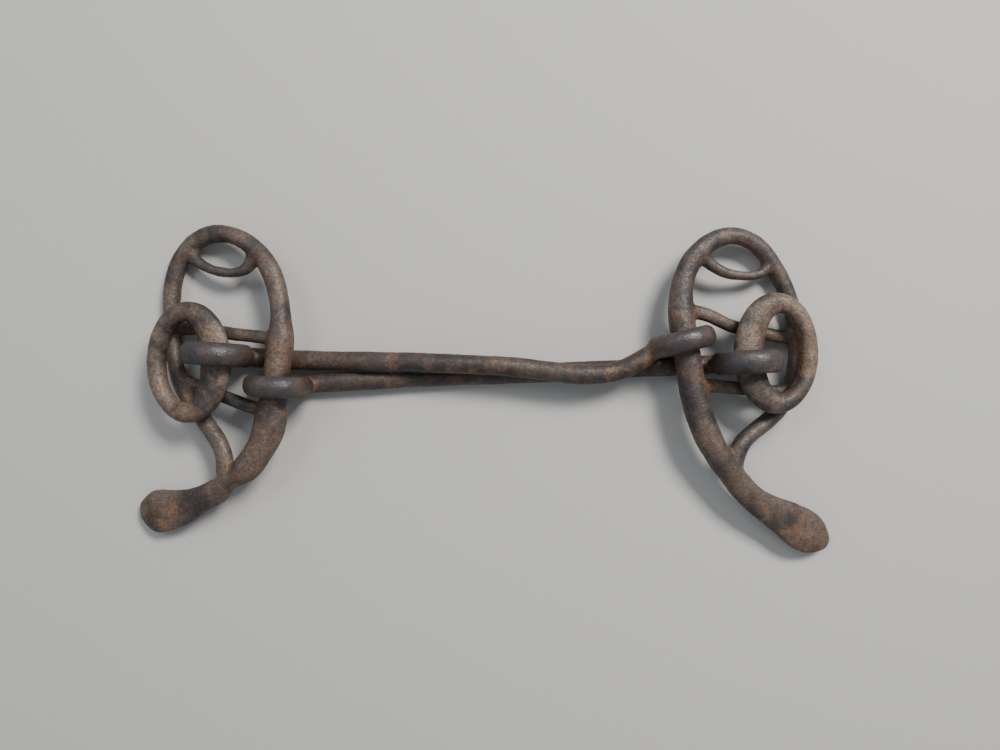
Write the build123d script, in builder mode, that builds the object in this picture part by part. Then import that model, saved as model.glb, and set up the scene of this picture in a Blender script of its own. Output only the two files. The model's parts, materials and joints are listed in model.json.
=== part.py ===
"""Double-bar iron curb bit lying folded flat, six loose pieces, millimetres, +Z up.

Two cast cheeks, two mouthpiece bars and two rein loops.  Each bar has one closed eye
around a cheek's front bar and runs under the other cheek's front bar, through its slot,
to a larger eye holding a rein loop.  X runs along the mouthpiece, Y up the cheeks.
The origin is under the middle of the bit, on the surface it rests on.
"""

import os
from math import cos, radians, sin

from build123d import *

os.makedirs("parts", exist_ok=True)

# ---------------------------------------------------------------- row frame
SHIFT_Y = 5.0            # moves the whole bit so its outline is centred on the origin
SHIFT_X = 5.2
SHIFT_Z = -0.4           # and its lowest metal stands at zero

# ---------------------------------------------------------------- cheeks
FRONT_BAR_Z = 12.2       # height of its centre line
CHEEK_SINK = 11.9        # degrees each cheek slopes down from its front bar outwards
CROSSBAR_WIDTH = 4.8
CROSSBAR_DEPTH = 4.2
LEFT_HINGE = (-75.3, 2.4)
RIGHT_HINGE = (63.6, 4.5)
LEFT_LEAN = -6.8         # degrees the front bar leans in plan, positive to the left
RIGHT_LEAN = 9.3

# Every cheek station is (outwards from the front bar, up along it, width in the cheek's
# plane, depth across it).  The main member runs from the flattened end up the shank, the
# front bar and the arch, and down the outer bar back to the shank.  The slot wire swells
# where it joins the arch, so the strap slot is shorter than the wire.
LEFT_MAIN = [
    (45.4, -54.9, 4.6, 1.6), (43.2, -54.6, 10.4, 2.8), (39.4, -54.7, 15.0, 3.9), (32.6, -53.2, 14.2, 4.6),
    (26.5, -50.6, 11.6, 5.2), (20.6, -47.0, 9.2, 6.0), (14.5, -42.6, 8.0, 6.8), (9.0, -37.4, 8.4, 7.6),
    (4.2, -31.0, 9.8, 8.2), (1.1, -23.4, 11.0, 8.6), (0.0, -16.4, 11.0, 8.8), (0.0, -10.8, 9.2, 9.0),
    (0.0, -4.5, 9.0, 9.0), (0.0, 4.5, 9.0, 9.0), (0.0, 10.6, 8.8, 8.8), (0.5, 15.0, 7.4, 8.2),
    (1.5, 20.0, 6.6, 7.4), (3.2, 25.6, 6.6, 6.8), (6.0, 31.4, 7.0, 6.4), (10.4, 36.8, 6.8, 6.0),
    (17.4, 41.6, 6.4, 5.8), (26.4, 43.6, 6.2, 5.8), (37.2, 39.2, 6.0, 5.8), (42.4, 30.0, 5.8, 5.8),
    (42.9, 19.0, 5.8, 5.8), (41.6, 8.5, 5.8, 5.8), (39.6, 0.5, 5.8, 5.8), (36.2, -8.0, 5.8, 5.8),
    (30.6, -15.4, 5.8, 5.8), (25.0, -21.0, 5.8, 5.8), (19.4, -26.6, 6.0, 5.8), (15.6, -33.0, 6.2, 5.8),
    (13.4, -39.4, 5.6, 5.6),
]
LEFT_SLOT_WIRE = [
    (39.6, 37.2, 5.6, 4.4), (36.6, 34.6, 5.0, 4.3), (32.4, 32.0, 3.9, 4.2), (27.0, 30.6, 3.4, 4.2),
    (20.6, 30.5, 3.4, 4.2), (16.6, 31.8, 3.9, 4.2), (14.4, 34.6, 4.8, 4.3), (12.8, 38.4, 5.6, 4.4),
]
LEFT_UPPER_CROSSBAR = [(0.0, 9.5), (9.0, 9.7), (18.6, 9.7), (30.7, 9.9), (41.6, 8.8)]
LEFT_LOWER_CROSSBAR = [(0.0, -15.0), (8.0, -14.2), (16.2, -12.6), (27.0, -10.2), (37.0, -7.4)]
RIGHT_MAIN = [
    (40.6, -71.2, 3.4, 1.6), (38.6, -69.4, 9.4, 3.0), (35.4, -66.6, 14.0, 4.0), (31.2, -63.2, 15.2, 4.6),
    (26.4, -59.2, 13.4, 5.2), (21.0, -55.0, 10.8, 5.8), (15.6, -50.0, 9.2, 6.4), (11.6, -44.6, 9.0, 7.2),
    (8.4, -39.0, 8.8, 7.8), (5.0, -32.6, 8.8, 8.2), (2.6, -26.0, 9.4, 8.6), (0.9, -18.6, 9.4, 8.8),
    (0.0, -11.4, 9.2, 9.0), (0.0, -4.5, 9.0, 9.0), (0.0, 4.5, 9.0, 9.0), (0.0, 12.0, 9.0, 8.9),
    (0.4, 18.0, 8.8, 8.6), (1.6, 23.6, 7.8, 7.6), (3.9, 29.0, 7.4, 6.8), (8.2, 34.4, 7.2, 6.2),
    (14.8, 38.8, 6.6, 5.8), (24.8, 40.0, 6.0, 5.8), (32.8, 35.4, 6.0, 5.8), (37.6, 27.4, 6.0, 5.8),
    (40.8, 18.0, 5.8, 5.8), (42.0, 7.0, 5.8, 5.8), (40.8, -4.0, 5.8, 5.8), (36.8, -14.0, 5.8, 5.8),
    (29.0, -22.6, 5.8, 5.8), (20.2, -27.2, 6.0, 5.8), (13.8, -31.6, 6.2, 5.8), (10.4, -38.0, 5.8, 5.6),
]
RIGHT_SLOT_WIRE = [
    (9.6, 36.6, 5.6, 4.4), (12.6, 33.2, 5.0, 4.3), (15.6, 30.0, 4.0, 4.2), (20.4, 27.3, 3.5, 4.2),
    (26.4, 25.8, 3.4, 4.2), (31.6, 25.9, 3.6, 4.2), (35.2, 28.2, 4.4, 4.3), (36.0, 31.6, 5.2, 4.4),
]
RIGHT_UPPER_CROSSBAR = [(0.0, 17.5), (6.0, 16.1), (11.2, 13.8), (15.4, 10.9), (21.0, 8.2), (32.0, 4.4), (42.0, 1.6)]
RIGHT_LOWER_CROSSBAR = [(0.0, -8.0), (8.0, -9.6), (16.7, -11.8), (27.0, -14.6), (35.6, -16.0)]

# ---------------------------------------------------------------- mouthpiece bars
BAR_Z = 3.8              # height of the bars where they rest on the surface
BAR_A_DIA = 6.8
BAR_B_DIA = 6.6
EYE_WIRE = 5.6           # eye metal between hole and rim
EYE_WIDTH = 7.4          # eye metal along its own hole
EYE_SEAM = 45.0          # degrees up from level where the two halves of an eye meet
BAR_END = 0.7            # a bar's end inside its eye, as a share of its diameter
FIXED_HOLE = 12.0        # hole that turns on a cheek's front bar
RING_HOLE = 12.4         # hole that holds a rein loop
RING_EYE_WIDTH = 8.0
RING_EYE_Z = 14.2        # height of the ring eyes' centres
FIXED_EYE_UP_LEFT = -6.3   # along the left front bar from its hinge point
FIXED_EYE_UP_RIGHT = 7.1
FIXED_EYE_PULL = 1.1       # each fixed eye is drawn in towards the middle by its play
LEFT_RING_EYE = (-94.8, 6.9)
RIGHT_RING_EYE = (82.8, 4.3)

# ---------------------------------------------------------------- rein loops
LOOP_HALF_WIDTH = 10.8   # centre line of the oval loop
LOOP_HALF_HEIGHT = 16.9
LOOP_THIN = 6.0          # metal seen from the face, on the loop's outer side
LOOP_BROAD = 10.6        # and in the band that lies in the eye
LOOP_DEEP = 6.4          # metal along the loop's axis, on its outer side
LOOP_BAND_DEEP = 5.8     # and in the band
LOOP_SINK = 8.5          # degrees each loop slopes down outwards
LEFT_LOOP = (-105.7, 4.3, 13.0)
RIGHT_LOOP = (93.9, 7.4, 13.0)


def shifted(x, y, z):
    """A point of the layout moved into the row frame."""
    return Vector(x + SHIFT_X, y + SHIFT_Y, z + SHIFT_Z)


def front_bar_direction(lean):
    """Unit vector up a front bar that leans in plan."""
    return Vector(0, 1, 0).rotate(Axis.Z, lean)


def cheek_plane(hinge, lean, side):
    """Plane of a cheek: x outwards and down, y up the front bar."""
    up = front_bar_direction(lean)
    out = Vector(side, 0, 0).rotate(Axis.Z, lean)
    out = out.rotate(Axis((0, 0, 0), up), side * CHEEK_SINK)
    return Plane(origin=shifted(hinge[0], hinge[1], FRONT_BAR_Z), x_dir=out, z_dir=out.cross(up))


def rod(plane, points, width, depth):
    """Bar of oval section following a smooth line through points of a plane."""
    with BuildLine(plane) as line:
        Spline(*points)
    start = Plane(origin=line.line @ 0, x_dir=plane.z_dir, z_dir=line.line % 0)
    with BuildSketch(start) as section:
        Ellipse(depth / 2, width / 2)
    sweep(section.sketch, path=line.line)


def tapered(plane, stations):
    """Bar of changing oval section, drawn through stations of a plane."""
    last = len(stations) - 1
    sections = []
    for index, (out, up, width, depth) in enumerate(stations):
        before = stations[max(index - 1, 0)]
        after = stations[min(index + 1, last)]
        heading = plane.x_dir * (after[0] - before[0]) + plane.y_dir * (after[1] - before[1])
        place = plane.origin + plane.x_dir * out + plane.y_dir * up
        with BuildSketch(Plane(origin=place, x_dir=plane.z_dir, z_dir=heading)) as section:
            Ellipse(depth / 2, width / 2)
        sections.append(section.sketch.face())
    loft(sections)


def cheek(plane, main, slot_wire, upper, lower):
    """One cheek casting from its members."""
    tapered(plane, main)
    tapered(plane, slot_wire)
    rod(plane, upper, CROSSBAR_WIDTH, CROSSBAR_DEPTH)
    rod(plane, lower, CROSSBAR_WIDTH, CROSSBAR_DEPTH)


def eye(centre, along, hole, width, side):
    """Closed eye whose hole runs level, square to the direction along."""
    hinge = Axis(centre, Vector(0, 0, 1).cross(along))
    across = (along * side).rotate(Axis((0, 0, 0), hinge.direction), -side * EYE_SEAM)
    with BuildSketch(Plane(origin=centre, x_dir=across, z_dir=across.cross(hinge.direction))) as section:
        with Locations(((hole + EYE_WIRE) / 2, 0)):
            Ellipse(EYE_WIRE / 2, width / 2)
    revolve(section.sketch, axis=hinge, revolution_arc=180)
    revolve(section.sketch, axis=hinge, revolution_arc=-180)


def bar(points, diameter):
    """Round bar bent through points of the layout, thinned where its ends enter the eyes."""
    places = [shifted(*point) for point in points]
    last = len(places) - 1
    sections = []
    for index, place in enumerate(places):
        heading = places[min(index + 1, last)] - places[max(index - 1, 0)]
        thin = BAR_END if index in (0, last) else 1.0
        with BuildSketch(Plane(origin=place, x_dir=(0, 0, 1), z_dir=heading)) as section:
            Circle(diameter * thin / 2)
        sections.append(section.sketch.face())
    loft(sections)


def half_loop(plane, turn):
    """Half an oval loop from its outer side round to the band in the eye."""
    sections = []
    for step in range(13):
        angle = turn * step * 15.0
        share = (1 - cos(radians(angle))) / 2
        place = Vector(LOOP_HALF_WIDTH * cos(radians(angle)), LOOP_HALF_HEIGHT * sin(radians(angle)), 0)
        heading = Vector(-LOOP_HALF_WIDTH * sin(radians(angle)), LOOP_HALF_HEIGHT * cos(radians(angle)), 0)
        width = LOOP_THIN + (LOOP_BROAD - LOOP_THIN) * share**2.2
        depth = LOOP_DEEP + (LOOP_BAND_DEEP - LOOP_DEEP) * share
        origin = plane.from_local_coords(place)
        ahead = plane.from_local_coords(place + heading) - origin
        with BuildSketch(Plane(origin=origin, x_dir=plane.z_dir, z_dir=ahead)) as section:
            Ellipse(depth / 2, width / 2)
        sections.append(section.sketch.face())
    loft(sections)


def rein_loop(middle, side):
    """Oval rein loop sloping down outwards, broad where it lies in its eye."""
    across = Vector(side, 0, 0).rotate(Axis.Y, side * LOOP_SINK)
    plane = Plane(origin=shifted(*middle), x_dir=across, z_dir=across.cross(Vector(0, 1, 0)))
    half_loop(plane, 1)
    half_loop(plane, -1)


left_plane = cheek_plane(LEFT_HINGE, LEFT_LEAN, -1)
right_plane = cheek_plane(RIGHT_HINGE, RIGHT_LEAN, 1)

with BuildPart() as left_cheek:
    cheek(left_plane, LEFT_MAIN, LEFT_SLOT_WIRE, LEFT_UPPER_CROSSBAR, LEFT_LOWER_CROSSBAR)

with BuildPart() as right_cheek:
    cheek(right_plane, RIGHT_MAIN, RIGHT_SLOT_WIRE, RIGHT_UPPER_CROSSBAR, RIGHT_LOWER_CROSSBAR)

# Bar A: ring eye on the left, then under the left front bar, over bar B, fixed eye right.
right_eye_along = Vector(1, 0, 0).rotate(Axis.Z, RIGHT_LEAN + 4.5)
right_eye_middle = right_plane.origin + right_plane.y_dir * FIXED_EYE_UP_RIGHT
right_eye_centre = right_eye_middle - right_eye_along * FIXED_EYE_PULL
left_ring_along = Vector(1, 0, 0).rotate(Axis.Z, -4.0)
left_ring_centre = shifted(*LEFT_RING_EYE, RING_EYE_Z)
ring_eye_low = RING_EYE_Z - (RING_HOLE + EYE_WIRE) / 2
bar_a_end = right_eye_centre - right_eye_along * ((FIXED_HOLE + EYE_WIRE) / 2)
bar_a_line = [
    (LEFT_RING_EYE[0], LEFT_RING_EYE[1], ring_eye_low),
    (-85.0, 6.1, 4.2),
    (-75.0, 5.4, BAR_Z),
    (-66.0, 5.1, 4.2),
    (-54.0, 4.9, 6.0),
    (-44.0, 4.7, 7.9),
    (-34.0, 4.5, 9.2),
    (-15.0, 3.8, 10.7),
    (3.5, 2.8, 11.2),
    (22.0, 0.6, 11.3),
    (31.0, 0.1, 11.3),
    (40.0, 1.5, 11.3),
    (47.0, 4.6, 11.6),
    (bar_a_end.X - SHIFT_X, bar_a_end.Y - SHIFT_Y, FRONT_BAR_Z),
]
with BuildPart() as bar_a:
    bar(bar_a_line, BAR_A_DIA)
    eye(left_ring_centre, left_ring_along, RING_HOLE, RING_EYE_WIDTH, 1)
    eye(right_eye_centre, right_eye_along, FIXED_HOLE, EYE_WIDTH, 1)

# Bar B: fixed eye on the left, straight along, under the right front bar, ring eye right.
left_eye_along = Vector(1, 0, 0).rotate(Axis.Z, LEFT_LEAN + 3.3)
left_eye_middle = left_plane.origin + left_plane.y_dir * FIXED_EYE_UP_LEFT
left_eye_centre = left_eye_middle + left_eye_along * FIXED_EYE_PULL
right_ring_along = Vector(1, 0, 0).rotate(Axis.Z, 3.0)
right_ring_centre = shifted(*RIGHT_RING_EYE, RING_EYE_Z)
fixed_eye_low = FRONT_BAR_Z - (FIXED_HOLE + EYE_WIRE) / 2
bar_b_line = [
    (left_eye_centre.X - SHIFT_X, left_eye_centre.Y - SHIFT_Y, fixed_eye_low),
    (-63.0, -2.9, BAR_Z),
    (-35.0, -1.3, BAR_Z),
    (0.0, 0.1, BAR_Z),
    (35.0, 1.8, BAR_Z),
    (60.0, 3.0, BAR_Z),
    (73.0, 3.7, 4.2),
    (RIGHT_RING_EYE[0], RIGHT_RING_EYE[1], ring_eye_low),
]
with BuildPart() as bar_b:
    bar(bar_b_line, BAR_B_DIA)
    eye(left_eye_centre, left_eye_along, FIXED_HOLE, EYE_WIDTH, 1)
    eye(right_ring_centre, right_ring_along, RING_HOLE, RING_EYE_WIDTH, -1)

with BuildPart() as left_ring:
    rein_loop(LEFT_LOOP, -1)

with BuildPart() as right_ring:
    rein_loop(RIGHT_LOOP, 1)

left_cheek.part.label = "left_cheek"
export_step(left_cheek.part, "parts/left_cheek.step")
right_cheek.part.label = "right_cheek"
export_step(right_cheek.part, "parts/right_cheek.step")
bar_a.part.label = "bar_a"
export_step(bar_a.part, "parts/bar_a.step")
bar_b.part.label = "bar_b"
export_step(bar_b.part, "parts/bar_b.step")
left_ring.part.label = "left_ring"
export_step(left_ring.part, "parts/left_ring.step")
right_ring.part.label = "right_ring"
export_step(right_ring.part, "parts/right_ring.step")
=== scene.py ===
import json

import bmesh
import bpy
import numpy as np
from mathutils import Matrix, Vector, noise


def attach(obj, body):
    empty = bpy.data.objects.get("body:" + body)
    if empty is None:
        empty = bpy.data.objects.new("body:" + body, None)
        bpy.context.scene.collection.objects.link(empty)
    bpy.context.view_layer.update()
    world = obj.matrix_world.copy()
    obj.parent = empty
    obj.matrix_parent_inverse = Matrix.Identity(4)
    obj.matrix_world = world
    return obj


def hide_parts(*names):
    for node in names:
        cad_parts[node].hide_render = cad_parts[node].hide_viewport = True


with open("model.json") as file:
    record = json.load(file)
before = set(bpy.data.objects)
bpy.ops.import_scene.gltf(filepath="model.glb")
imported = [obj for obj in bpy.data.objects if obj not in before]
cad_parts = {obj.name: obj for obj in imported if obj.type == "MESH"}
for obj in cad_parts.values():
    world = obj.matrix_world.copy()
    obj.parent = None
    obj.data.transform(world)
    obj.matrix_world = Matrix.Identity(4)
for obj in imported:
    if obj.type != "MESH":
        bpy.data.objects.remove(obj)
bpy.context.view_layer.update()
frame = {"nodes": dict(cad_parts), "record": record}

# ------------------------------------------------------------------ the iron's surface, in metres
FINE = 0.00045   # edge of one voxel in the even mesh
WELD = 2e-6
FILLET_CAP = 0.0016       # the most the fillets may move the surface
FULL_CREVICE = 0.0006     # a hollow filled this deep is wholly a crevice
LUMP_HEIGHT = 0.00016
RIPPLE_HEIGHT = 0.00007
PIT_DEPTH = 0.00011
BAR_PIT_DEPTH = 0.00008
SMALL_PIT_PART = 0.55     # a small pit's depth as a share of a large one's
BEND_ROUNDS = 5           # rounds that soften the measure of how sharply the surface bends
WORN_GAIN = 9.0
HOLLOW_GAIN = 12.0
TOP_SHEEN_AND_HANDLED_FROM = 0.0165     # height above which the top faces look rubbed by handling and carry a painted top highlight
TOP_SHEEN_AND_HANDLED_OVER = 0.006

# Waves per metre of each surface noise.
LUMP_SCALE = 110.0
RIPPLE_SCALE = 420.0
PATCH_SCALE = 60.0
PIT_SCALE = 560.0
SMALL_PIT_SCALE = 1050.0
PIT_EDGE = 0.42           # a pit's radius as a share of its cell

# Smoothing: the share of the way to its neighbours' middle that a vertex moves in one round.
HOLLOW_SHARE = 0.6
BUMP_SHARE = 0.16
NORMALS_EVERY = 6         # rounds between fresh normals
CHEEK_ROUNDS = 44
BAR_ROUNDS = 30
LOOP_ROUNDS = 8

# Where the left cheek's outer bar joins its shank, the smoothing goes on longer.
DRESS_REACH = 0.0075
DRESS_FADE = 0.003
DRESS_ROUNDS = 180
DRESS_BUMP_PART = 0.15
DRESS_OUT = 0.0118        # from the left hinge point, outwards in the cheek's plane
DRESS_DOWN = 0.0412       # and down the cheek
LEFT_OUT = Vector((-0.972, 0.117, -0.206))   # outwards in the left cheek's sloping plane


# ------------------------------------------------------------------ mesh tools
def arrays(mesh):
    """A mesh's vertices, edges and triangles as arrays."""
    co = np.empty(len(mesh.vertices) * 3)
    mesh.vertices.foreach_get("co", co)
    ed = np.empty(len(mesh.edges) * 2, dtype=np.int64)
    mesh.edges.foreach_get("vertices", ed)
    mesh.calc_loop_triangles()
    tri = np.empty(len(mesh.loop_triangles) * 3, dtype=np.int64)
    mesh.loop_triangles.foreach_get("vertices", tri)
    return co.reshape(-1, 3), ed.reshape(-1, 2), tri.reshape(-1, 3)


def vertex_normals(co, tri):
    a, b, c = co[tri[:, 0]], co[tri[:, 1]], co[tri[:, 2]]
    facing = np.cross(b - a, c - a)
    out = np.zeros_like(co)
    for corner in range(3):
        for axis in range(3):
            out[:, axis] += np.bincount(tri[:, corner], facing[:, axis], len(co))
    return out / np.maximum(np.linalg.norm(out, axis=1, keepdims=True), 1e-20)


def averaged(values, ed, degree):
    """The mean of each vertex's neighbours."""
    out = np.empty_like(values)
    for axis in range(values.shape[1]):
        total = np.bincount(ed[:, 0], values[ed[:, 1], axis], len(values))
        total += np.bincount(ed[:, 1], values[ed[:, 0], axis], len(values))
        out[:, axis] = total / degree
    return out


def pull(co, ed, degree, normals):
    """The way from each vertex to its neighbours' middle, and whether it lies in a hollow."""
    move = averaged(co, ed, degree) - co
    return move, (move * normals).sum(1)[:, None] > 0


def fill_hollows(co, ed, tri, degree, rounds):
    """Rounds the inside corners as a casting's fillets, hardly touching the outside ones."""
    start = co.copy()
    normals = vertex_normals(co, tri)
    for i in range(rounds):
        if i % NORMALS_EVERY == NORMALS_EVERY - 1:
            normals = vertex_normals(co, tri)
        move, hollow = pull(co, ed, degree, normals)
        co = co + move * np.where(hollow, HOLLOW_SHARE, BUMP_SHARE)
        gone = co - start
        dist = np.linalg.norm(gone, axis=1, keepdims=True)
        co = start + gone * np.minimum(1.0, FILLET_CAP / np.maximum(dist, 1e-12))
    return co


def dress_flush(co, ed, tri, degree, middle):
    """Softens the step where the outer bar's end meets the shank, round one point."""
    near = np.linalg.norm(co - np.array(middle), axis=1)
    share = (np.clip((DRESS_REACH - near) / DRESS_FADE, 0.0, 1.0) * HOLLOW_SHARE)[:, None]
    for i in range(DRESS_ROUNDS):
        if i % NORMALS_EVERY == 0:
            normals = vertex_normals(co, tri)
        move, hollow = pull(co, ed, degree, normals)
        co = co + move * share * np.where(hollow, 1.0, DRESS_BUMP_PART)
    return co


def surface_noise(co, scale, seed, octaves):
    shift = Vector((seed * 1.7, seed * 2.3, seed * 3.1))
    return np.array([noise.fractal(Vector(p) * scale + shift, 1.0, 2.0, octaves) for p in co])


def pits(co, scale, seed):
    """Round corrosion pits, 1 at a pit's middle and 0 between pits."""
    shift = Vector((seed * 5.3, seed * 1.9, seed * 4.7))
    near = np.array([noise.voronoi(Vector(p) * scale + shift)[0][0] for p in co])
    return np.clip(1.0 - near / PIT_EDGE, 0.0, 1.0) ** 1.5


def even_mesh(node):
    """A CAD node's mesh, rebuilt with even faces fine enough to carry the pits."""
    bm = bmesh.new()
    bm.from_mesh(frame["nodes"][node].data)
    bmesh.ops.remove_doubles(bm, verts=bm.verts, dist=WELD)
    mesh = bpy.data.meshes.new(node + "_rough")
    bm.to_mesh(mesh)
    bm.free()
    rough = bpy.data.objects.new(node + "_rough", mesh)
    bpy.context.scene.collection.objects.link(rough)
    remesh = rough.modifiers.new("even", "REMESH")
    remesh.mode = "VOXEL"
    remesh.voxel_size = FINE
    bpy.context.view_layer.update()
    done = rough.evaluated_get(bpy.context.evaluated_depsgraph_get())
    even = bpy.data.meshes.new_from_object(done)
    bpy.data.objects.remove(rough)
    bpy.data.meshes.remove(mesh)
    return even


def cast_piece(node, body, seed, rounds, pit_depth=PIT_DEPTH, dress=None):
    """A rough iron piece made from a CAD node: fillets, lumps and corrosion pits."""
    even = even_mesh(node)
    before, ed, tri = arrays(even)
    degree = np.maximum(np.bincount(ed.ravel(), minlength=len(before)), 1)
    co = fill_hollows(before, ed, tri, degree, rounds)
    if dress:
        co = dress_flush(co, ed, tri, degree, dress)
    normals = vertex_normals(co, tri)
    filled = np.clip(((co - before) * normals).sum(1) / FULL_CREVICE, 0.0, 1.0)

    # Large soft lumps first, then pitting where the rust bit in.
    lumps = surface_noise(co, LUMP_SCALE, seed, 2)
    ripples = surface_noise(co, RIPPLE_SCALE, seed + 3, 3)
    patch = np.clip(surface_noise(co, PATCH_SCALE, seed + 7, 2) * 1.4 + 0.55, 0.0, 1.0)
    holes = pits(co, PIT_SCALE, seed) * patch
    small = pits(co, SMALL_PIT_SCALE, seed + 2) * np.clip(ripples + 0.6, 0.0, 1.0)
    height = (lumps * LUMP_HEIGHT + ripples * RIPPLE_HEIGHT
              - holes * pit_depth - small * pit_depth * SMALL_PIT_PART)
    co = co + normals * height[:, None]

    # How sharply the surface bends, below 0 on the high parts, softened over a few rounds.
    bend = (averaged(co, ed, degree) - co) * normals
    bend = (bend.sum(1) / FINE)[:, None]
    for _ in range(BEND_ROUNDS):
        bend = averaged(bend, ed, degree)
    bend = bend[:, 0]
    # High faces that point up get a lighter grey: handling wear plus a painted top highlight.
    high = np.clip((co[:, 2] - TOP_SHEEN_AND_HANDLED_FROM) / TOP_SHEEN_AND_HANDLED_OVER, 0.0, 1.0)
    facing_up = np.clip(normals[:, 2] * 1.6, 0.0, 1.0)

    even.vertices.foreach_set("co", co.ravel())
    even.name = node + "_iron"
    for name, values in (
        ("crevice", filled),
        ("worn", np.clip(-bend * WORN_GAIN, 0.0, 1.0)),
        ("hollow", np.clip(bend * HOLLOW_GAIN, 0.0, 1.0)),
        ("pitted", np.clip(holes + small * 0.6, 0.0, 1.0)),
        # handling wear plus a painted top highlight on the high upward faces
        ("handled_and_top_sheen", high * facing_up),
    ):
        layer = even.attributes.new(name, "FLOAT", "POINT")
        layer.data.foreach_set("value", values.astype(np.float32))
    even.polygons.foreach_set("use_smooth", [True] * len(even.polygons))
    even.materials.clear()
    piece = bpy.data.objects.new(node + "_iron", even)
    bpy.context.scene.collection.objects.link(piece)
    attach(piece, body)
    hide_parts(node)
    return piece


# ------------------------------------------------------------------ materials
# Each pattern: waves per metre, detail, roughness, the noise values that
# become 0 and 1, and distortion.
BROAD = (62.0, 3.0, 0.6, 0.40, 0.62, 0.0)
BLOTCH = (210.0, 5.0, 0.65, 0.44, 0.60, 0.5)
GRAIN = (1100.0, 5.0, 0.75, 0.40, 0.62, 0.0)
SPECK = (2800.0, 3.0, 0.7, 0.50, 0.66, 0.0)
RUST_PATCH = (95.0, 4.0, 0.65, 0.5, 0.64, 0.6)
EDGE_RUB = (330.0, 6.0, 0.75, 0.44, 0.58, 0.0)
# the pattern of the handling wear and painted top highlight on the high faces
HAND_RUB_AND_TOP_SHEEN = (260.0, 5.0, 0.7, 0.36, 0.60, 0.0)
FINE_BUMP_SCALE = 2200.0
CELL_BUMP_SCALE = 1300.0
DULL, RUBBED = 0.50, 0.30     # roughness of bare rust and of rubbed iron
GRAIN_ROUGHNESS = 0.18
RUBBED_METAL = 0.55

DARK = (0.0165, 0.0112, 0.0090)
MID = (0.060, 0.031, 0.0185)
PALE = (0.165, 0.104, 0.068)
RUST = (0.260, 0.112, 0.032)
GREY = (0.105, 0.100, 0.104)
BLACK = (0.050, 0.048, 0.054)
BAR_MID = (0.066, 0.0325, 0.0185)
LOOP_MID = (0.074, 0.045, 0.031)
LOOP_PALE = (0.215, 0.140, 0.095)


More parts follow.
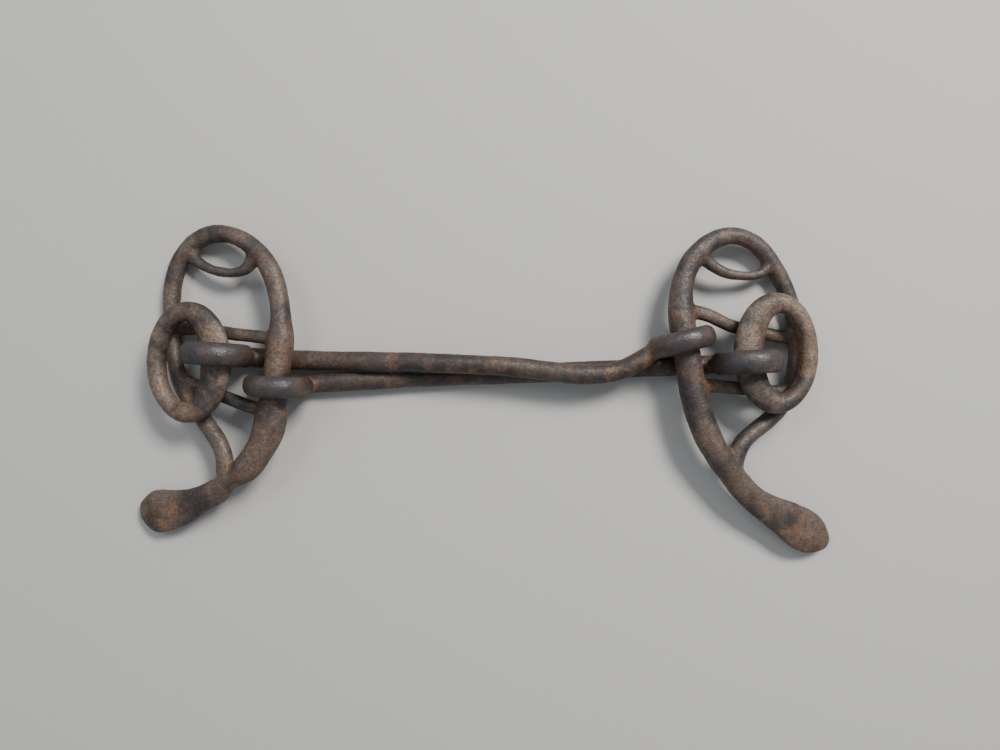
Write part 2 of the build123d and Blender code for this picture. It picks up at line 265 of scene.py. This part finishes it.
def rusty_iron(name, dark, mid, pale, rust, grey, bloom, polish_and_sheen, rust_share, seed):
    """Old rusted iron: dark oxide, brown rust in patches, orange in the hollows and
    worn grey on the high parts, which on their upward faces is also a painted top highlight."""
    mat = bpy.data.materials.new(name)
    mat.use_nodes = True
    nt = mat.node_tree
    nt.nodes.clear()
    N, L = nt.nodes.new, nt.links.new
    out = N("ShaderNodeOutputMaterial")
    bsdf = N("ShaderNodeBsdfPrincipled")
    L(bsdf.outputs["BSDF"], out.inputs["Surface"])
    coord = N("ShaderNodeTexCoord")
    place = N("ShaderNodeMapping")
    place.inputs["Location"].default_value = (seed * 0.37, seed * 0.11, seed * 0.23)
    L(coord.outputs["Object"], place.inputs["Vector"])

    def attr(key):
        a = N("ShaderNodeAttribute")
        a.attribute_name = key
        return a.outputs["Fac"]

    def texture(kind, **values):
        t = N(kind)
        for key, value in values.items():
            t.inputs[key].default_value = value
        L(place.outputs["Vector"], t.inputs["Vector"])
        return t

    def wave(pattern):
        scale, detail, roughness, low, high, distortion = pattern
        n = texture("ShaderNodeTexNoise", Scale=scale, Detail=detail,
                    Roughness=roughness, Distortion=distortion)
        r = N("ShaderNodeMapRange")
        r.interpolation_type = "SMOOTHSTEP"
        r.inputs["From Min"].default_value = low
        r.inputs["From Max"].default_value = high
        L(n.outputs["Fac"], r.inputs["Value"])
        return r.outputs["Result"]

    def fill(socket, value):
        if isinstance(value, (int, float)):
            socket.default_value = value
        elif isinstance(value, tuple):
            socket.default_value = (*value, 1.0)
        else:
            L(value, socket)

    def math_node(kind, a, b):
        m = N("ShaderNodeMath")
        m.operation = kind
        m.use_clamp = True
        fill(m.inputs[0], a)
        fill(m.inputs[1], b)
        return m.outputs[0]

    def times(a, b):
        return math_node("MULTIPLY", a, b)

    def plus(a, b):
        return math_node("ADD", a, b)

    def blend(factor, a, b):
        m = N("ShaderNodeMix")
        m.data_type = "RGBA"
        L(factor, m.inputs[0])
        fill(m.inputs[6], a)
        fill(m.inputs[7], b)
        return m.outputs[2]

    def bump(height, strength, distance):
        b = N("ShaderNodeBump")
        b.inputs["Strength"].default_value = strength
        b.inputs["Distance"].default_value = distance
        L(height, b.inputs["Height"])
        return b

    pit_black = tuple(c * 0.4 for c in dark)
    deep_rust = tuple(c * 0.35 for c in rust)
    broad, blotch, grain, speck = wave(BROAD), wave(BLOTCH), wave(GRAIN), wave(SPECK)
    colour = blend(times(blotch, 0.9), dark, mid)
    colour = blend(times(broad, bloom), colour, pale)
    colour = blend(times(grain, 0.6), colour, pit_black)

    # Orange rust sits in fillets, pits and a few open patches.
    open_rust = times(wave(RUST_PATCH), rust_share)
    seat = plus(times(attr("crevice"), 0.9), times(attr("hollow"), 0.3))
    rusted = plus(open_rust, times(seat, plus(broad, 0.3)))
    rusted = times(rusted, plus(times(blotch, 0.7), 0.25))
    rust_colour = blend(speck, rust, deep_rust)
    rust_colour = blend(times(grain, 0.4), rust_colour, dark)
    colour = blend(rusted, colour, rust_colour)
    colour = blend(times(attr("pitted"), 0.7), colour, pit_black)

    # Handling has rubbed the high parts to a dull grey; on upward faces high up this grey is also
    # a painted top highlight.
    rub_and_top_sheen = times(attr("worn"), plus(wave(EDGE_RUB), 0.12))
    rub_and_top_sheen = plus(rub_and_top_sheen, times(attr("handled_and_top_sheen"), wave(HAND_RUB_AND_TOP_SHEEN)))
    rub_and_top_sheen = times(rub_and_top_sheen, polish_and_sheen)
    colour = blend(rub_and_top_sheen, colour, grey)
    L(colour, bsdf.inputs["Base Color"])
    L(times(rub_and_top_sheen, RUBBED_METAL), bsdf.inputs["Metallic"])
    rough = N("ShaderNodeMapRange")
    rough.inputs["To Min"].default_value = DULL
    rough.inputs["To Max"].default_value = RUBBED
    L(rub_and_top_sheen, rough.inputs["Value"])
    spotty = N("ShaderNodeMath")
    spotty.operation = "MULTIPLY_ADD"
    L(grain, spotty.inputs[0])
    spotty.inputs[1].default_value = GRAIN_ROUGHNESS
    L(rough.outputs["Result"], spotty.inputs[2])
    L(spotty.outputs[0], bsdf.inputs["Roughness"])

    fine = texture("ShaderNodeTexNoise", Scale=FINE_BUMP_SCALE, Detail=5.0, Roughness=0.7)
    cells = texture("ShaderNodeTexVoronoi", Scale=CELL_BUMP_SCALE)
    low_bump = bump(cells.outputs["Distance"], 0.5, 0.00015)
    top_bump = bump(fine.outputs["Fac"], 0.6, 0.00012)
    L(low_bump.outputs["Normal"], top_bump.inputs["Normal"])
    L(top_bump.outputs["Normal"], bsdf.inputs["Normal"])
    return mat


cheek_iron = rusty_iron("cheek_iron", DARK, MID, PALE, RUST, GREY, 0.6, 0.75, 0.36, 1)
bar_iron = rusty_iron("bar_iron", DARK, BAR_MID, PALE, RUST, BLACK, 0.3, 0.85, 0.4, 4)
loop_iron = rusty_iron("loop_iron", DARK, LOOP_MID, LOOP_PALE, RUST, GREY, 0.75, 0.6, 0.42, 7)


# ------------------------------------------------------------------ pieces
def left_dress_place():
    """Where the left shank takes in its outer bar, from the left hinge in the record."""
    joints = frame["record"]["behaviour"]["joints"]
    hinge = next(j for j in joints if j["name"] == "left_cheek_swing")
    up = -Vector(hinge["axis"])
    return Vector(hinge["pos_m"]) + LEFT_OUT * DRESS_OUT - up * DRESS_DOWN


left_cheek = cast_piece("left_cheek", "left_cheek", 1, CHEEK_ROUNDS,
                        dress=left_dress_place())
right_cheek = cast_piece("right_cheek", "right_cheek", 2, CHEEK_ROUNDS)
bar_a = cast_piece("bar_a", "bar_a", 3, BAR_ROUNDS, BAR_PIT_DEPTH)
bar_b = cast_piece("bar_b", "bar_b", 4, BAR_ROUNDS, BAR_PIT_DEPTH)
left_ring = cast_piece("left_ring", "left_ring", 5, LOOP_ROUNDS)
right_ring = cast_piece("right_ring", "right_ring", 6, LOOP_ROUNDS)
for mat, pieces in ((cheek_iron, (left_cheek, right_cheek)), (bar_iron, (bar_a, bar_b)),
                    (loop_iron, (left_ring, right_ring))):
    for piece in pieces:
        piece.data.materials.append(mat)

# ------------------------------------------------------------------ stage
FLOOR_Z = -0.0002         # just under the lowest piece
FLOOR_GREY = (0.40, 0.388, 0.368, 1.0)
ROOM_TINT = (0.86, 0.92, 1.0, 1.0)

bpy.ops.mesh.primitive_plane_add(size=6.0, location=(0, 0, FLOOR_Z))
floor = bpy.context.object
floor.name = "floor"
floor_mat = bpy.data.materials.new("floor")
floor_mat.use_nodes = True
shade = floor_mat.node_tree.nodes["Principled BSDF"]
shade.inputs["Base Color"].default_value = FLOOR_GREY
shade.inputs["Roughness"].default_value = 0.9
floor.data.materials.append(floor_mat)

world = bpy.data.worlds.new("soft_room")
bpy.context.scene.world = world
world.use_nodes = True
background = world.node_tree.nodes["Background"]
background.inputs["Color"].default_value = ROOM_TINT
background.inputs["Strength"].default_value = 0.5


def soft_light(name, place, size, watts, colour):
    """A soft rectangular light aimed at the middle of the bit."""
    data = bpy.data.lights.new(name, "AREA")
    data.shape = "RECTANGLE"
    data.size = size
    data.size_y = size * 0.7
    data.energy = watts
    data.color = colour
    lamp = bpy.data.objects.new(name, data)
    lamp.location = place
    lamp.rotation_euler = (-Vector(place)).to_track_quat("-Z", "Y").to_euler()
    bpy.context.scene.collection.objects.link(lamp)


soft_light("window", (0.42, 0.50, 0.72), 0.34, 15.0, (1.0, 0.98, 0.95))
soft_light("sky", (-0.5, 0.45, 0.85), 0.5, 3.0, (0.88, 0.94, 1.0))

# The camera looks straight down, as in the photo.
SENSOR = 36.0
LENS_OVER_SENSOR = 0.751
CAMERA_PLACE = (0.0052, 0.0050, 0.2656)
camera = bpy.data.cameras.new("view")
camera.sensor_width = SENSOR
camera.lens = SENSOR * LENS_OVER_SENSOR
camera.clip_start = 0.01
eye_point = bpy.data.objects.new("view", camera)
eye_point.location = CAMERA_PLACE
bpy.context.scene.collection.objects.link(eye_point)
bpy.context.scene.camera = eye_point
